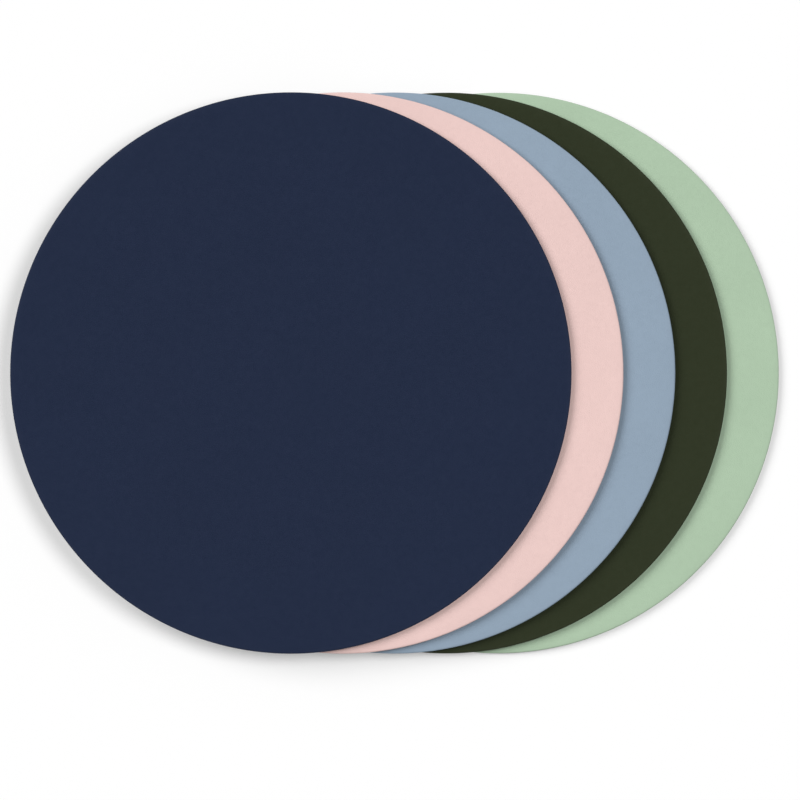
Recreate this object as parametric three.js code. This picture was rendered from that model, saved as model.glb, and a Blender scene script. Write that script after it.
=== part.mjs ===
// Five round desk pads lying in a fan, each pad a laminate of three layers cut to one circle.
// Millimetres, +Z up. The origin is on the desk, under the middle of the fan's outline.
import * as THREE from "three";

// One pad, from the desk upward
const padDiameter = 200;
const baseThickness = 0.5;
const coreThickness = 1.2;
const faceThickness = 0.8;

// The cut edge of a pad
const baseChamfer = 0.2; // the lower corner of the base is eased
const coreWaist = 0.3; // the springy core draws in this far between the two skins
const faceRimRadius = 0.5; // the cutter rolls the rim of the face sheet down

// The fan
const fanStep = 18.5; // each pad lies this far to the left of the one under it
const restGap = 0.1; // air between two pads that lie loosely on each other

// Facets of the round forms
const rimFacets = 96;
const edgeCurveFacets = 2;

// Colours, and the pads from the bottom of the fan to the top
const coreColour = 0x6f706d;
const baseColour = 0x2c2d2f;
const pads = [
  { name: "mint", faceColour: 0xafc6ac },
  { name: "olive", faceColour: 0x323726 },
  { name: "blue", faceColour: 0x93a6b7 },
  { name: "pink", faceColour: 0xebccc7 },
  { name: "navy", faceColour: 0x272f45 },
];

// Levels in one pad, above its own underside
const padRadius = padDiameter / 2;
const coreBottom = baseThickness;
const faceBottom = coreBottom + coreThickness;
const padThickness = faceBottom + faceThickness;

// The half section of each layer runs from the axis out along its underside, up the cut edge
// and back to the axis along its top.
function baseSection() {
  const chamfer = Math.min(baseChamfer, baseThickness); // at most the layer's own thickness
  const section = new THREE.Path();
  section.moveTo(0, 0);
  section.lineTo(padRadius - chamfer, 0);
  section.lineTo(padRadius, chamfer);
  section.lineTo(padRadius, coreBottom);
  section.lineTo(0, coreBottom);
  return section;
}

function coreSection() {
  const middle = (coreBottom + faceBottom) / 2;
  const section = new THREE.Path();
  section.moveTo(0, coreBottom);
  section.lineTo(padRadius, coreBottom);
  section.quadraticCurveTo(padRadius - 2 * coreWaist, middle, padRadius, faceBottom);
  section.lineTo(0, faceBottom);
  return section;
}

function faceSection() {
  const rim = Math.min(faceRimRadius, faceThickness); // at most the sheet's own thickness
  const section = new THREE.Path();
  section.moveTo(0, faceBottom);
  section.lineTo(padRadius, faceBottom);
  section.lineTo(padRadius, padThickness - rim);
  section.absarc(padRadius - rim, padThickness - rim, rim, 0, Math.PI / 2);
  section.lineTo(0, padThickness);
  return section;
}

// One layer, turned about its pad's own axis.
function layer(name, section, color, roughness) {
  const geometry = new THREE.LatheGeometry(section.getPoints(edgeCurveFacets), rimFacets);
  geometry.rotateX(Math.PI / 2); // a lathe turns about Y, and the pads lie flat with Z up
  const material = new THREE.MeshStandardMaterial({ color, roughness, metalness: 0 });
  const mesh = new THREE.Mesh(geometry, material);
  mesh.name = name;
  return mesh;
}

function pad({ name, faceColour }) {
  const group = new THREE.Group();
  group.add(layer(`${name}_base`, baseSection(), baseColour, 0.9));
  group.add(layer(`${name}_core`, coreSection(), coreColour, 0.85));
  group.add(layer(`${name}_face_sheet`, faceSection(), faceColour, 0.6));
  return group;
}

// The fan is centred on the origin, and climbs to the left by one pad at each level.
const fan = new THREE.Group();
pads.forEach((colourway, level) => {
  const placed = pad(colourway);
  placed.position.x = fanStep * ((pads.length - 1) / 2 - level);
  placed.position.z = (padThickness + restGap) * level;
  fan.add(placed);
});

export default fan;
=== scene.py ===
"""Looks of a fan of five round desk pads: modelled layers, their materials, the floor, light and camera.

Every pad is a laminate of three layers, and each layer is modelled here in the place of its CAD solid.
Lengths in the driving values are millimetres and angles are degrees. Everything in the scene is in metres.
"""

import math

import bmesh
import bpy
import numpy as np
from mathutils import Matrix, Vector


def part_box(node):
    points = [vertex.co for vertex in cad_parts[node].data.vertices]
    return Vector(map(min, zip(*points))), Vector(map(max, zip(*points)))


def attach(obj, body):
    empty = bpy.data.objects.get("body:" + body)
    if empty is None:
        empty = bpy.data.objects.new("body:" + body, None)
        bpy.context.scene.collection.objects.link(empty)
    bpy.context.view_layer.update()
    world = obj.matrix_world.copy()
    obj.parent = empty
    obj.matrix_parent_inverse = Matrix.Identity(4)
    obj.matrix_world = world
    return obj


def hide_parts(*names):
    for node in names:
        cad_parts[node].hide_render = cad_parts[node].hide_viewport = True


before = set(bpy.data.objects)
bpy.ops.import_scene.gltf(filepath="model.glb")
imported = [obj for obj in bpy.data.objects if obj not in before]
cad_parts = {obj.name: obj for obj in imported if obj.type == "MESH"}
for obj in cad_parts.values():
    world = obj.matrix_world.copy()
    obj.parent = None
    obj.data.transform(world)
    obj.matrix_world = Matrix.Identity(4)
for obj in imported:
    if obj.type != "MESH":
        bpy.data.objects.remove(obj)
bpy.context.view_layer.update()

MM = 0.001
FULL_TURN = 2 * math.pi
WHITE = (1.0, 1.0, 1.0, 1.0)

# The pads from the bottom of the fan to the top, with the sRGB colour of each face's pigment.
# A dark face looks paler than its pigment, because its dull sheen adds a little white.
PADS = {
    "mint": (176, 200, 173),
    "olive": (42, 48, 30),
    "blue": (147, 165, 183),
    "pink": (237, 205, 200),
    "navy": (28, 38, 61),
}
LAYERS = ("base", "core", "face_sheet")
BACKING_COLOUR = (168, 166, 160)
FOAM_COLOUR = (111, 112, 109)
RUBBER_COLOUR = (44, 45, 47)

# Each pad lies turned by one step from the pad below, so that no two show the same cut or grip
FIRST_TURN = 37
TURN_STEP = 71

# Seeds of the random shapes. Each face has its own, a step on from the face below.
FIRST_FACE_SEED = 5
FACE_SEED_STEP = 100
FOAM_CELL_SEED = 11
FOAM_CUT_SEED = 17
BASE_CUT_SEED = 23

# Facets round a pad, how far from the edge the last ring of a hidden flat side lies, and the angle from
# which a corner stays sharp
EDGE_FACETS = 720
FOAM_FACETS = 1440
HIDDEN_RING_INSET = 2.0
SHARP_ANGLE = 20

# How far the cut strays inward, and how many waves per turn it is made of on each layer
CUT_WANDER = 0.035
FACE_CUT_WAVES = (2, 3, 7, 19, 43, 88, 131, 170)
FOAM_CUT_WAVES = (3, 8, 21, 55)
BASE_CUT_WAVES = (2, 5, 13, 37, 71)

# The face sheet: a coloured skin on a knitted backing, rolled down at the rim by the cutter
RIM_ROLL = 0.5
RIM_DIP = 0.09
RIM_DIP_WIDTH = 3.5
RIM_DIP_POWER = 2.2
RIM_ONSET_POWER = 3
RIM_RIPPLE = 0.012
RIM_RIPPLE_WAVES = (5, 11, 29, 61, 97)
FACE_SWELL = 0.03
FACE_SWELL_WAVES = 9
FACE_SWELL_LENGTHS = (28, 75)
BACKING_INSET = 0.03
BACKING_DROP = 0.02
BACKING_HOLLOW = 0.03
INNER_RING = 3
FLAT_RINGS = 13
DIP_RINGS = 8
ROLL_RINGS = 8
BACKING_RINGS = 3

# The foam core, which draws in between the two skins. Its opened cells reach their full depth at this share
# of its thickness from either skin.
FOAM_WAIST = 0.3
FOAM_CELL_DEPTH = 0.05
FOAM_CELL_ONSET = 0.125
FOAM_RINGS = 13

# The rubber base, with a diamond grip pattern pressed into its underside. Its grooves run in two directions,
# and the last two values are the steps from one crossing to the next.
BASE_CORNER = 0.2
CORNER_RINGS = 7
GRIP_SIDE = 2.8
GRIP_GROOVE = 0.35
GRIP_DEPTH = 0.16
GRIP_MARGIN = 1.4
GRIP_HALF_ANGLE = 30
DIAMOND_CORNERS = ((0, 0), (0, 1), (1, 1), (1, 0))
GRIP_COSINE = math.cos(math.radians(GRIP_HALF_ANGLE))
GRIP_SINE = math.sin(math.radians(GRIP_HALF_ANGLE))
GRIP_ALONG = np.array([GRIP_COSINE, GRIP_SINE]) * GRIP_SIDE
GRIP_ACROSS = np.array([GRIP_COSINE, -GRIP_SINE]) * GRIP_SIDE

# The texture map of a layer, on a square of side 1: its cut side lies in level rows at the foot, up to this
# height, and its top and underside are discs above them, each with its middle and width here. A facet is on
# a flat side if more than this share of its normal points straight up or down. A row is inset by a share of
# its length and height.
MAP_NAME = "OFBake"
MAP_ROWS = 16
ROW_END_INSET = 0.004
ROW_SIDE_INSET = 0.1
THIN_EDGE_ROWS = 0.12
FOAM_ROWS = 0.61
LARGE_DISC = (0.435, 0.56, 0.86)
SMALL_DISC = (0.932, 0.2, 0.12)
FOAM_DISCS = ((0.19, 0.8, 0.36), (0.57, 0.8, 0.36))
THIN_EDGE_FLAT = 0.6
FOAM_FLAT = 0.95

# The finishes: sizes of their grains and patches, and a crease's reach as a share of a pebble. A pull has a
# size and a reach, and a relief has a depth and a strength. A tone is a factor on the layer's own colour, and
# its cover is the most of it that shows.
PEBBLE = 0.56
PEBBLE_PULLS = ((1.4, 0.4), (0.4, 0.13))
CREASE_SHARE = 0.26
SHALLOW_PATCH = 1.7
SHALLOWEST = 0.5
PORE = 0.14
CLOUD = 26.0
FLECK = 2.4
KNIT = 0.2
CLOUD_TONES = (0.985, 1.03)
FLECK_TONE = 0.955
FLECK_COVER = 0.3
# Painted shade that darkens the creases of the face
CREASE_SHADE_TONE = 0.86
CREASE_SHADE_COVER = 0.1
RIM_TONE = 0.88
RIM_COVER = 0.35
KNIT_TONES = (0.7, 1.15)
BACKING_DYE_SHARE = 0.45
FACE_RELIEF = (0.08, 0.8)
RIM_RELIEF_SHARE = 0.4
KNIT_RELIEF = (0.08, 0.6)
FACE_ROUGHNESS = (0.7, 0.88)
RIM_BURNISH = 0.08
CUT_DULLNESS = 0.3
FACE_SPECULAR = 0.12

FOAM_CELL = 0.26
FOAM_CELL_PULL = (0.3, 0.08)
FOAM_PIT = 0.09
DUST_PATCH = 6.0
# Painted shade: the hollows of the foam's opened cells darker, their walls lighter
FOAM_HOLLOW_SHADE_TONES = (0.55, 1.3)
PIT_TONE = 1.05
PIT_COVER = 0.5
DUST_TONE = 1.25
DUST_COVER = 0.4
FOAM_RELIEF = (0.08, 0.7)
FOAM_ROUGHNESS = (0.95, 0.82)
FOAM_SPECULAR = 0.2

MOULD_GRAIN = 0.3
BLOOM_PATCH = 18.0
BLOOM_TONES = (0.85, 1.2)
SCUFF_TONE = 1.6
SCUFF_COVER = 0.3
MOULD_RELIEF = (0.04, 0.5)
RUBBER_ROUGHNESS = (0.78, 0.92)
RUBBER_SPECULAR = 0.3

# Two soft lights and an even fill, which together give the floor its full light. A light stands tilted from
# straight overhead towards its heading, which is counted from +X, and looks this wide from the floor.
KEY_LIGHT = {"tilt": 47, "heading": 153, "width": 40, "share": 0.433}
TOP_LIGHT = {"tilt": 26, "heading": 19, "width": 27, "share": 0.467}
FILL_SHARE = 0.1

# The floor, the share of its white that the pads can't shade, and how much light it throws back
FLOOR_HALF = 3000.0
FLOOR_GLOW = 0.32
FLOOR_BOUNCE = 0.8

# The photographed frame: straight down, as wide as this, with its middle here
FRAME_WIDTH = 285.5
FRAME_MIDDLE = (1.87, -9.61)
CAMERA_HEIGHT = 6000.0
CAMERA_REACH = 20000.0
SENSOR_WIDTH = 36.0


def linear(srgb):
    """The linear light of an sRGB colour given in 0 to 255."""
    shares = [c / 255 for c in srgb]
    return tuple(c / 12.92 if c <= 0.04045 else ((c + 0.055) / 1.055) ** 2.4 for c in shares)


def facet_angles(facets):
    """The direction of each facet's first corner."""
    return np.arange(facets) * FULL_TURN / facets


def wander(angles, waves, seed):
    """A smooth closed curve of height up to 1 round the rim, made of waves with these counts per turn."""
    dice = np.random.default_rng(seed)
    total = np.zeros_like(angles)
    for count in waves:
        total += dice.uniform(0.5, 1.0) * np.sin(count * angles + dice.uniform(0, FULL_TURN))
    return total / np.abs(total).max()


def cut_inset(angles, waves, seed):
    """How far the cut lies inside the pad's full radius."""
    return CUT_WANDER * (1 + wander(angles, waves, seed)) / 2


def gentle_swell(x, y, seed):
    """How a lying sheet swells and dips, from 0 to 1, over tens of millimetres."""
    dice = np.random.default_rng(seed)
    total = np.zeros_like(x)
    for _ in range(FACE_SWELL_WAVES):
        heading = dice.uniform(0, FULL_TURN)
        length = dice.uniform(*FACE_SWELL_LENGTHS)
        phase = dice.uniform(0, FULL_TURN)
        total += np.sin((x * math.cos(heading) + y * math.sin(heading)) * FULL_TURN / length + phase)
    return 0.5 + 0.5 * total / FACE_SWELL_WAVES


def turned_mesh(name, radii, heights, close_bottom=True):
    """A mesh of rings, from the middle of the top outward, down the edge and back along the underside.

    radii and heights hold one row for each ring and one column for each facet, in millimetres.
    """
    rings, facets = radii.shape
    angles = facet_angles(facets)
    points = np.stack([radii * np.cos(angles), radii * np.sin(angles), heights], axis=2).reshape(-1, 3)
    here = np.arange(facets)
    after = (here + 1) % facets
    faces = []
    for ring in range(rings - 1):
        inner = ring * facets
        outer = inner + facets
        faces.extend(np.stack([inner + here, outer + here, outer + after, inner + after], axis=1).tolist())
    middle_top = len(points)
    points = np.vstack([points, [[0, 0, heights[0].mean()]]])
    faces.extend(np.stack([np.full(facets, middle_top), here, after], axis=1).tolist())
    if close_bottom:
        last = (rings - 1) * facets
        points = np.vstack([points, [[0, 0, heights[-1].mean()]]])
        faces.extend(np.stack([np.full(facets, middle_top + 1), last + after, last + here], axis=1).tolist())
    mesh = bpy.data.meshes.new(name)
    mesh.from_pydata((points * MM).tolist(), [], faces)
    return mesh


def finish_mesh(mesh):
    """Smooth shading with the real corners kept sharp."""
    mesh.validate()
    mesh.shade_smooth()
    mesh.set_sharp_from_angle(angle=math.radians(SHARP_ANGLE))
    mesh.update()


def store(mesh, name, values):
    """Keeps one number for each point, for the materials to read."""
    attribute = mesh.attributes.new(name, "FLOAT", "POINT")
    attribute.data.foreach_set("value", np.asarray(values, np.float32))


def lay_map(mesh, radius, rows_height, flat_from, top_disc, under_disc):
    """Gives a layer its texture map: its cut side in level rows, its top and underside as discs."""
    faces = len(mesh.polygons)
    normals = np.empty(3 * faces)
    middles = np.empty(3 * faces)
    corner_counts = np.empty(faces, np.int32)
    corners = np.empty(len(mesh.loops), np.int32)
    points = np.empty(3 * len(mesh.vertices))
    mesh.polygons.foreach_get("normal", normals)
    mesh.polygons.foreach_get("center", middles)
    mesh.polygons.foreach_get("loop_total", corner_counts)
    mesh.loops.foreach_get("vertex_index", corners)
    mesh.vertices.foreach_get("co", points)
    face_of = np.repeat(np.arange(faces), corner_counts)
    at = points.reshape(-1, 3)[corners] / MM
    upward = normals.reshape(-1, 3)[face_of, 2]
    places = np.empty((len(corners), 2))
    for flat, (x, y, width) in ((upward > flat_from, top_disc), (upward < -flat_from, under_disc)):
        places[flat] = np.array([x, y]) + at[flat, :2] * width / (2 * radius)

    side = np.abs(upward) <= flat_from
    middle = middles.reshape(-1, 3)[face_of[side]]
    turn = np.arctan2(middle[:, 1], middle[:, 0]) / FULL_TURN % 1 * MAP_ROWS
    own_turn = np.arctan2(at[side, 1], at[side, 0]) / FULL_TURN * MAP_ROWS
    own_turn = turn + (own_turn - turn + MAP_ROWS / 2) % MAP_ROWS - MAP_ROWS / 2
    row = np.floor(turn)
    level = at[side, 2]
    rise = (level - level.min()) / np.ptp(level)
    along_row = ROW_END_INSET + (1 - 2 * ROW_END_INSET) * (own_turn - row)
    across_row = ROW_SIDE_INSET + (1 - 2 * ROW_SIDE_INSET) * rise
    places[side, 0] = along_row
    places[side, 1] = rows_height * (row + across_row) / MAP_ROWS
    layer = mesh.uv_layers.new(name=MAP_NAME)
    layer.uv.foreach_set("vector", places.astype(np.float32).ravel())


def face_mesh(name, radius, thickness, seed):
    """The face sheet: a nearly flat top that dips to a rolled rim, then the cut side of skin and backing.

    The mesh keeps two numbers for its material: rim rises to 1 on the rolled rim, and cut is 1 on the
    backing. Each ring below has its inset from the cut, its height, its rim and its cut.
    """
    angles = facet_angles(EDGE_FACETS)
    edge = radius - cut_inset(angles, FACE_CUT_WAVES, seed)
    rings = []
    for flat in np.linspace(INNER_RING, radius - RIM_DIP_WIDTH, FLAT_RINGS):
        swell = gentle_swell(flat * np.cos(angles), flat * np.sin(angles), seed)
        shoulder = thickness - FACE_SWELL * swell
        rings.append((radius - flat, shoulder, 0.0, 0.0))
    for share in np.linspace(0, 1, DIP_RINGS + 1)[1:]:
        inset = RIM_DIP_WIDTH + share * (RIM_ROLL - RIM_DIP_WIDTH)
        dipped = shoulder - RIM_DIP * share**RIM_DIP_POWER
        rings.append((inset, dipped, share**RIM_ONSET_POWER, 0.0))
    roll_top = dipped + RIM_RIPPLE * (wander(angles, RIM_RIPPLE_WAVES, seed + 1) - 1)
    for turn in np.linspace(0, math.pi / 2, ROLL_RINGS + 1)[1:]:
        skin_end = roll_top - RIM_ROLL * (1 - math.cos(turn))
        rings.append((RIM_ROLL * (1 - math.sin(turn)), skin_end, 1.0, 0.0))
    backing_top = skin_end - BACKING_DROP
    rings.append((BACKING_INSET, backing_top, 1.0, 1.0))
    for share in np.linspace(0, 1, BACKING_RINGS + 1)[1:]:
        inset = BACKING_INSET + BACKING_HOLLOW * math.sin(math.pi * share)
        rings.append((inset, backing_top * (1 - share), 1.0, 1.0))
    rings.append((HIDDEN_RING_INSET, np.zeros(EDGE_FACETS), 1.0, 1.0))

    insets, heights, rims, cuts = zip(*rings)
    mesh = turned_mesh(name, np.array([edge - inset for inset in insets]), np.array(heights))
    store(mesh, "rim", np.append(np.repeat(rims, EDGE_FACETS), [rims[0], rims[-1]]))
    store(mesh, "cut", np.append(np.repeat(cuts, EDGE_FACETS), [cuts[0], cuts[-1]]))
    lay_map(mesh, radius, THIN_EDGE_ROWS, THIN_EDGE_FLAT, LARGE_DISC, SMALL_DISC)
    return mesh


def foam_mesh(name, radius, thickness):
    """The core: its cut edge draws in between the skins and is rough with opened cells."""
    edge = radius - cut_inset(facet_angles(FOAM_FACETS), FOAM_CUT_WAVES, FOAM_CUT_SEED)
    dice = np.random.default_rng(FOAM_CELL_SEED)
    hidden_ring = np.full(FOAM_FACETS, radius - HIDDEN_RING_INSET)
    radii = [hidden_ring]
    heights = [np.full(FOAM_FACETS, thickness)]
    for share in np.linspace(0, 1, FOAM_RINGS):
        drawn_in = FOAM_WAIST * (1 - (2 * share - 1) ** 2)
        opened = min(1.0, share / FOAM_CELL_ONSET, (1 - share) / FOAM_CELL_ONSET)
        cells = FOAM_CELL_DEPTH * dice.uniform(0, 1, FOAM_FACETS) * opened
        radii.append(edge - drawn_in - cells)
        heights.append(np.full(FOAM_FACETS, thickness * (1 - share)))
    radii.append(hidden_ring)
    heights.append(np.zeros(FOAM_FACETS))
    mesh = turned_mesh(name, np.array(radii), np.array(heights))
    lay_map(mesh, radius, FOAM_ROWS, FOAM_FLAT, *FOAM_DISCS)
    return mesh


def crossing(i, j):
    """Where groove i of one direction meets groove j of the other, from the middle of the underside."""
    return i * GRIP_ALONG + j * GRIP_ACROSS


def whole_diamonds(limit):
    """The diamonds that lie wholly within this distance of the middle, each by its first crossing."""
    reach = int(2 * limit / GRIP_SIDE) + 2
    diamonds = []
    for i in range(-reach, reach):
        for j in range(-reach, reach):
            if max(np.hypot(*crossing(i + a, j + b)) for a, b in DIAMOND_CORNERS) < limit:
                diamonds.append((i, j))
    return diamonds


def press_grip(mesh, limit):
    """Closes the underside of a base, with diamond bosses between grooves within this distance of its middle.

    A crossing lies as deep as the grooves if there is a diamond on all its four sides.
    """
    diamonds = whole_diamonds(limit)
    pressed = set(diamonds)
    boss_share = 1 - GRIP_GROOVE / (GRIP_SIDE * math.sin(2 * math.radians(GRIP_HALF_ANGLE)))
    work = bmesh.new()
    work.from_mesh(mesh)
    crossings = {}
    for i, j in diamonds:
        middle = crossing(i + 0.5, j + 0.5)
        outer = []
        for a, b in DIAMOND_CORNERS:
            spot = (i + a, j + b)
            if spot not in crossings:
                ringed = all((spot[0] - c, spot[1] - d) in pressed for c, d in DIAMOND_CORNERS)
                depth = GRIP_DEPTH if ringed else 0.0
                x, y = crossing(*spot)
                crossings[spot] = work.verts.new((x * MM, y * MM, depth * MM))
            outer.append(crossings[spot])
        boss = []
        for a, b in DIAMOND_CORNERS:
            x, y = middle + (crossing(i + a, j + b) - middle) * boss_share
            boss.append(work.verts.new((x * MM, y * MM, 0.0)))
        work.faces.new(boss)
        for side in range(len(boss)):
            after = (side + 1) % len(boss)
            work.faces.new((outer[side], outer[after], boss[after], boss[side]))
    open_edges = [edge for edge in work.edges if edge.is_boundary]
    bmesh.ops.triangle_fill(work, use_beauty=True, edges=open_edges, normal=(0, 0, -1))
    bmesh.ops.recalc_face_normals(work, faces=work.faces)
    work.to_mesh(mesh)
    work.free()


def base_mesh(name, radius, thickness):
    """The base: a thin skin with an eased lower corner and the grip underneath."""
    edge = radius - cut_inset(facet_angles(EDGE_FACETS), BASE_CUT_WAVES, BASE_CUT_SEED)
    radii = [edge - HIDDEN_RING_INSET, edge]
    heights = [np.full(EDGE_FACETS, thickness), np.full(EDGE_FACETS, thickness)]
    for turn in np.linspace(0, math.pi / 2, CORNER_RINGS):
        radii.append(edge - BASE_CORNER * (1 - math.cos(turn)))
        heights.append(np.full(EDGE_FACETS, BASE_CORNER * (1 - math.sin(turn))))
    mesh = turned_mesh(name, np.array(radii), np.array(heights), close_bottom=False)
    press_grip(mesh, radius - BASE_CORNER - GRIP_MARGIN)
    lay_map(mesh, radius, THIN_EDGE_ROWS, THIN_EDGE_FLAT, SMALL_DISC, LARGE_DISC)
    return mesh


class Nodes:
    """A short way to write a material's nodes."""

    def __init__(self, name, specular):
        self.material = bpy.data.materials.new(name)
        self.material.use_nodes = True
        self.tree = self.material.node_tree
        self.shader = self.tree.nodes["Principled BSDF"]
        self.shader.inputs["Specular IOR Level"].default_value = specular

    def put(self, value, socket):
        """Links a socket's value, or writes a plain one."""
        if isinstance(value, bpy.types.NodeSocket):
            self.tree.links.new(value, socket)
        else:
            socket.default_value = value

    def add(self, kind, inputs=None, **settings):
        node = self.tree.nodes.new(kind)
        for key, value in settings.items():
            setattr(node, key, value)
        for key, value in (inputs or {}).items():
            self.put(value, node.inputs[key])
        return node

    def place(self):
        return self.add("ShaderNodeTexCoord").outputs["Object"]

    def noise(self, place, size, detail=3.0, roughness=0.5):
        """Noise with features about this many millimetres across."""
        inputs = {"Vector": place, "Scale": 1 / (size * MM), "Detail": detail, "Roughness": roughness}
        return self.add("ShaderNodeTexNoise", inputs).outputs["Fac"]

    def cells(self, place, size, feature="F1", dimensions="3D"):
        """The distance from the middle, or the edge, of cells about this many millimetres across."""
        inputs = {"Vector": place, "Scale": 1 / (size * MM)}
        node = self.add("ShaderNodeTexVoronoi", inputs, feature=feature, voronoi_dimensions=dimensions)
        return node.outputs["Distance"]

    def ranged(self, value, low, high, to_low, to_high, slope="LINEAR"):
        """Goes from to_low to to_high as the value goes from low to high, and no further."""
        inputs = {"Value": value, "From Min": low, "From Max": high, "To Min": to_low, "To Max": to_high}
        return self.add("ShaderNodeMapRange", inputs, interpolation_type=slope).outputs["Result"]

    def risen(self, value, low, high, most=1.0, slope="LINEAR"):
        """Rises from 0 to most as the value goes from low to high."""
        return self.ranged(value, low, high, 0.0, most, slope)

    def maths(self, operation, first, second):
        return self.add("ShaderNodeMath", {0: first, 1: second}, operation=operation).outputs["Value"]

    def vectors(self, operation, inputs):
        return self.add("ShaderNodeVectorMath", inputs, operation=operation).outputs[0]

    def stored(self, name):
        """A number that the mesh keeps for each point."""
        return self.add("ShaderNodeAttribute", attribute_name=name).outputs["Fac"]

    def pulled(self, place, size, reach):
        """Places pulled about by up to this many millimetres, by noise of this size."""
        inputs = {"Vector": place, "Scale": 1 / (size * MM), "Detail": 2.0}
        pull = self.add("ShaderNodeTexNoise", inputs).outputs["Color"]
        centred = self.vectors("SUBTRACT", {0: pull, 1: (0.5, 0.5, 0.5)})
        scaled = self.vectors("SCALE", {0: centred, "Scale": 2 * reach * MM})
        return self.vectors("ADD", {0: place, 1: scaled})

    def sum(self, terms):
        """Numbers added up, each times its weight."""
        total = None
        for value, weight in terms:
            part = self.maths("MULTIPLY", value, weight)
            total = part if total is None else self.maths("ADD", total, part)
        return total

    def mix(self, share, first, second):
        """The first colour, with this share of the second in it."""
        node = self.add("ShaderNodeMix", data_type="RGBA")
        for socket, value in ((0, share), (6, first), (7, second)):
            self.put(value, node.inputs[socket])
        return node.outputs[2]

    def bump(self, height, depth, strength, normal=None):
        """Relief of this depth in millimetres."""
        inputs = {"Height": height, "Distance": depth * MM, "Strength": strength}
        if normal is not None:
            inputs["Normal"] = normal
        return self.add("ShaderNodeBump", inputs).outputs["Normal"]

    def to_shader(self, **links):
        for key, value in links.items():
            self.tree.links.new(value, self.shader.inputs[key.replace("_", " ")])


def tone(colour, factor):
    """A colour made darker or lighter, with full alpha."""
    return tuple(min(1.0, c * factor) for c in colour) + (1.0,)


def tones(colour, factors):
    """A darker and a lighter tone of a colour."""
    return [tone(colour, factor) for factor in factors]


def face_material(name, srgb):
    """Matt synthetic leather: very fine pebbled grain, slight clouding, and a knitted backing at the cut."""
    nodes = Nodes(name, FACE_SPECULAR)
    colour = linear(srgb)
    place = nodes.place()
    rim = nodes.stored("rim")
    cut = nodes.stored("cut")

    # Rounded pebbles, with soft creases of uneven depth between them and pores in their skin
    pulled = place
    for size, reach in PEBBLE_PULLS:
        pulled = nodes.pulled(pulled, size, reach)
    gaps = nodes.cells(pulled, PEBBLE, "DISTANCE_TO_EDGE", "2D")
    gaps = nodes.risen(gaps, 0.0, CREASE_SHARE, slope="SMOOTHERSTEP")
    shallow = nodes.risen(nodes.noise(place, SHALLOW_PATCH, 2.0), 0.35, 0.65, SHALLOWEST)
    creases = nodes.maths("MAXIMUM", gaps, shallow)
    swelling = nodes.cells(pulled, PEBBLE, "F1", "2D")
    pores = nodes.noise(place, PORE, 2.0)
    grain = nodes.sum([(creases, 0.5), (swelling, -0.3), (pores, 0.35)])

    # Colour: slow clouding, small flecks, and painted shade that darkens the creases
    clouds = nodes.noise(place, CLOUD, 4.0, 0.55)
    flecks = nodes.noise(place, FLECK, 3.0, 0.6)
    body = nodes.mix(nodes.risen(clouds, 0.3, 0.7), *tones(colour, CLOUD_TONES))
    body = nodes.mix(nodes.risen(flecks, 0.4, 0.7, FLECK_COVER), body, tone(colour, FLECK_TONE))
    body = nodes.mix(nodes.ranged(creases, 0.0, 0.8, CREASE_SHADE_COVER, 0.0), body, tone(colour, CREASE_SHADE_TONE))
    body = nodes.mix(nodes.maths("MULTIPLY", rim, RIM_COVER), body, tone(colour, RIM_TONE))

    # The backing shows only on the cut side: a pale knit, tinted by the skin's dye
    knit = nodes.noise(place, KNIT, 3.0, 0.7)
    backing = linear(BACKING_COLOUR)
    dyed = [(1 - BACKING_DYE_SHARE) * b + BACKING_DYE_SHARE * c for b, c in zip(backing, colour)]
    threads = nodes.mix(nodes.risen(knit, 0.3, 0.7), *tones(dyed, KNIT_TONES))
    nodes.to_shader(Base_Color=nodes.mix(cut, body, threads))

    # The peaks are smoother than the creases, and the rim is burnished by the cutter
    dullness = nodes.sum([(creases, -0.5), (flecks, 0.6), (pores, 0.5)])
    matt = nodes.ranged(dullness, -0.1, 0.6, *FACE_ROUGHNESS)
    matt = nodes.sum([(matt, 1.0), (rim, -RIM_BURNISH), (cut, CUT_DULLNESS)])
    nodes.to_shader(Roughness=matt)
    relief = nodes.maths("MULTIPLY", grain, nodes.ranged(rim, 0.0, 1.0, 1.0, RIM_RELIEF_SHARE))
    pebbled = nodes.bump(relief, *FACE_RELIEF)
    nodes.to_shader(Normal=nodes.bump(nodes.maths("MULTIPLY", knit, cut), *KNIT_RELIEF, pebbled))
    return nodes.material


def foam_material():
    """Cut closed-cell foam: tiny cells, some of them open, with painted shade in their hollows, and a
    slightly dusty grey.
    """
    nodes = Nodes("foam", FOAM_SPECULAR)
    colour = linear(FOAM_COLOUR)
    place = nodes.place()
    cells = nodes.cells(nodes.pulled(place, *FOAM_CELL_PULL), FOAM_CELL, "DISTANCE_TO_EDGE")
    walls = nodes.ranged(cells, 0.02, 0.2, 1.0, 0.0, "SMOOTHSTEP")
    pits = nodes.noise(place, FOAM_PIT, 2.0, 0.6)
    dust = nodes.noise(place, DUST_PATCH, 4.0, 0.6)
    # Painted shade: darker in the cell hollows, lighter on the cell walls
    body = nodes.mix(walls, *tones(colour, FOAM_HOLLOW_SHADE_TONES))
    body = nodes.mix(nodes.risen(pits, 0.4, 0.7, PIT_COVER), body, tone(colour, PIT_TONE))
    body = nodes.mix(nodes.risen(dust, 0.35, 0.75, DUST_COVER), body, tone(colour, DUST_TONE))
    nodes.to_shader(Base_Color=body)
    nodes.to_shader(Roughness=nodes.ranged(walls, 0.0, 1.0, *FOAM_ROUGHNESS))
    nodes.to_shader(Normal=nodes.bump(nodes.sum([(walls, 1.0), (pits, 0.4)]), *FOAM_RELIEF))
    return nodes.material


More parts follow.
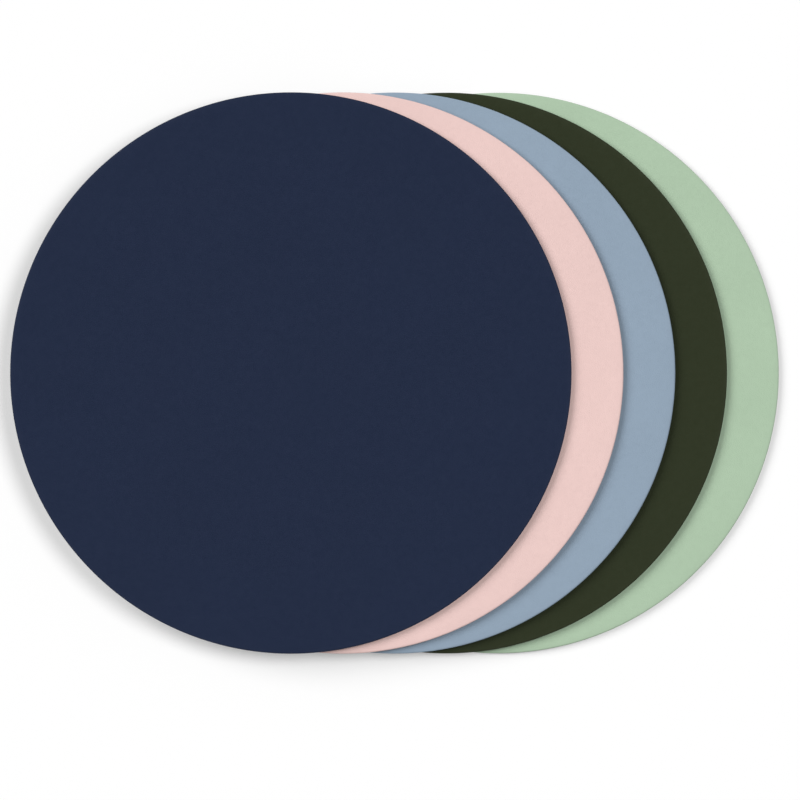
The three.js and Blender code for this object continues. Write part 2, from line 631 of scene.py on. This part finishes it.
def rubber_material():
    """Matt black-grey rubber with a fine mould texture and paler scuffed high spots."""
    nodes = Nodes("rubber", RUBBER_SPECULAR)
    colour = linear(RUBBER_COLOUR)
    place = nodes.place()
    mould = nodes.noise(place, MOULD_GRAIN, 3.0, 0.65)
    bloom = nodes.noise(place, BLOOM_PATCH, 5.0, 0.6)
    body = nodes.mix(nodes.risen(bloom, 0.35, 0.7), *tones(colour, BLOOM_TONES))
    body = nodes.mix(nodes.risen(mould, 0.45, 0.75, SCUFF_COVER), body, tone(colour, SCUFF_TONE))
    nodes.to_shader(Base_Color=body)
    nodes.to_shader(Roughness=nodes.ranged(mould, 0.3, 0.7, *RUBBER_ROUGHNESS))
    nodes.to_shader(Normal=nodes.bump(mould, *MOULD_RELIEF))
    return nodes.material


def add_piece(name, mesh, seat, material, body, node):
    """Puts a layer's mesh on its seat in the scene, in the place of a CAD node."""
    mesh.transform(seat)
    finish_mesh(mesh)
    mesh.materials.append(material)
    piece = bpy.data.objects.new(name, mesh)
    bpy.context.scene.collection.objects.link(piece)
    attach(piece, body)
    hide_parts(node)
    return piece


def build_pad(level, colour_name, srgb, foam, rubber):
    """The three layers of one pad. Gives the name of its face."""
    body = f"{colour_name}_pad"
    low = {}
    high = {}
    for layer in LAYERS:
        low[layer], high[layer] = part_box(f"{colour_name}_{layer}")
    centre = (low["base"] + high["base"]) / 2
    radius = (high["base"].x - low["base"].x) / 2 / MM
    turn = Matrix.Rotation(math.radians(FIRST_TURN + TURN_STEP * level), 4, "Z")
    thickness = {layer: (high[layer].z - low[layer].z) / MM for layer in LAYERS}
    seat = {layer: Matrix.Translation((centre.x, centre.y, low[layer].z)) @ turn for layer in LAYERS}

    base_name = f"{colour_name}_rubber"
    base_shape = base_mesh(base_name, radius, thickness["base"])
    base = add_piece(base_name, base_shape, seat["base"], rubber, body, f"{colour_name}_base")

    foam_name = f"{colour_name}_foam"
    foam_shape = foam_mesh(foam_name, radius, thickness["core"])
    core = add_piece(foam_name, foam_shape, seat["core"], foam, body, f"{colour_name}_core")

    face_name = f"{colour_name}_leather"
    face_node = f"{colour_name}_face_sheet"
    seed = FACE_SEED_STEP * level + FIRST_FACE_SEED
    face_shape = face_mesh(face_name, radius, thickness["face_sheet"], seed)
    leather = face_material(face_name, srgb)
    face = add_piece(face_name, face_shape, seat["face_sheet"], leather, body, face_node)
    return face_name


def build_pads():
    """All pads from the floor upward. They share the materials of their cores and bases."""
    foam = foam_material()
    rubber = rubber_material()
    below = "floor"
    for level, (colour_name, srgb) in enumerate(PADS.items()):
        below = build_pad(level, colour_name, srgb, foam, rubber)


def seen_directly(tree):
    """1 where the camera looks, straight or by reflection, and 0 where a surface only passes light on."""
    path = tree.nodes.new("ShaderNodeLightPath")
    looked_at = path.outputs["Is Camera Ray"]
    for kind in ("Is Glossy Ray", "Is Transmission Ray"):
        either = tree.nodes.new("ShaderNodeMath")
        either.operation = "MAXIMUM"
        tree.links.new(looked_at, either.inputs[0])
        tree.links.new(path.outputs[kind], either.inputs[1])
        looked_at = either.outputs[0]
    return looked_at


def coloured(tree, kind, colour):
    """A shader of this kind and colour."""
    shader = tree.nodes.new(kind)
    shader.inputs["Color"].default_value = colour
    return shader


def output_by_ray(tree, kind, passing, seen):
    """Ends a tree with one shader for light that is passed on and another for what the camera sees."""
    mix = tree.nodes.new("ShaderNodeMixShader")
    tree.links.new(seen_directly(tree), mix.inputs[0])
    tree.links.new(passing.outputs[0], mix.inputs[1])
    tree.links.new(seen.outputs[0], mix.inputs[2])
    output = tree.nodes.new(kind)
    tree.links.new(mix.outputs[0], output.inputs["Surface"])


def build_floor():
    """A plain white floor that takes the shadow of the pads.

    To the camera a share of it glows white, which softens that shadow. The light it passes on has no glow.
    """
    mesh = bpy.data.meshes.new("floor")
    half = FLOOR_HALF * MM
    corners = [(-half, -half, 0.0), (half, -half, 0.0), (half, half, 0.0), (-half, half, 0.0)]
    mesh.from_pydata(corners, [], [(0, 1, 2, 3)])
    floor = bpy.data.objects.new("floor", mesh)
    bpy.context.scene.collection.objects.link(floor)
    material = bpy.data.materials.new("white_floor")
    material.use_nodes = True
    tree = material.node_tree
    tree.nodes.clear()
    lit = coloured(tree, "ShaderNodeBsdfDiffuse", WHITE)
    glow = coloured(tree, "ShaderNodeEmission", WHITE)
    seen = tree.nodes.new("ShaderNodeMixShader")
    seen.inputs[0].default_value = FLOOR_GLOW
    tree.links.new(lit.outputs[0], seen.inputs[1])
    tree.links.new(glow.outputs[0], seen.inputs[2])
    bounced = coloured(tree, "ShaderNodeBsdfDiffuse", (FLOOR_BOUNCE, FLOOR_BOUNCE, FLOOR_BOUNCE, 1.0))
    output_by_ray(tree, "ShaderNodeOutputMaterial", bounced, seen)
    mesh.materials.append(material)


def add_soft_light(name, tilt, heading, width, share):
    """A broad disc of light, so far off that it is even, which gives this share of the floor's light."""
    lamp = bpy.data.lights.new(name, "SUN")
    lamp.angle = math.radians(width)
    lamp.energy = share * math.pi / math.cos(math.radians(tilt))
    light = bpy.data.objects.new(name, lamp)
    light.rotation_euler = (0.0, math.radians(tilt), math.radians(heading))
    bpy.context.scene.collection.objects.link(light)


def build_light():
    """Two soft lights, the broader from the upper left, with a weak even fill and a white background."""
    add_soft_light("key_light", **KEY_LIGHT)
    add_soft_light("top_light", **TOP_LIGHT)
    world = bpy.data.worlds.new("studio")
    world.use_nodes = True
    tree = world.node_tree
    tree.nodes.clear()
    fill = coloured(tree, "ShaderNodeBackground", WHITE)
    fill.inputs["Strength"].default_value = FILL_SHARE
    background = coloured(tree, "ShaderNodeBackground", WHITE)
    output_by_ray(tree, "ShaderNodeOutputWorld", fill, background)
    bpy.context.scene.world = world


def build_camera():
    """Straight down from far above, as the photograph is taken."""
    lens = bpy.data.cameras.new("camera")
    lens.sensor_width = SENSOR_WIDTH
    lens.lens = SENSOR_WIDTH * CAMERA_HEIGHT / FRAME_WIDTH
    lens.clip_end = CAMERA_REACH * MM
    camera = bpy.data.objects.new("camera", lens)
    camera.location = (FRAME_MIDDLE[0] * MM, FRAME_MIDDLE[1] * MM, CAMERA_HEIGHT * MM)
    bpy.context.scene.collection.objects.link(camera)
    bpy.context.scene.camera = camera


build_pads()
build_floor()
build_light()
build_camera()
bpy.context.scene.view_settings.view_transform = "Standard"
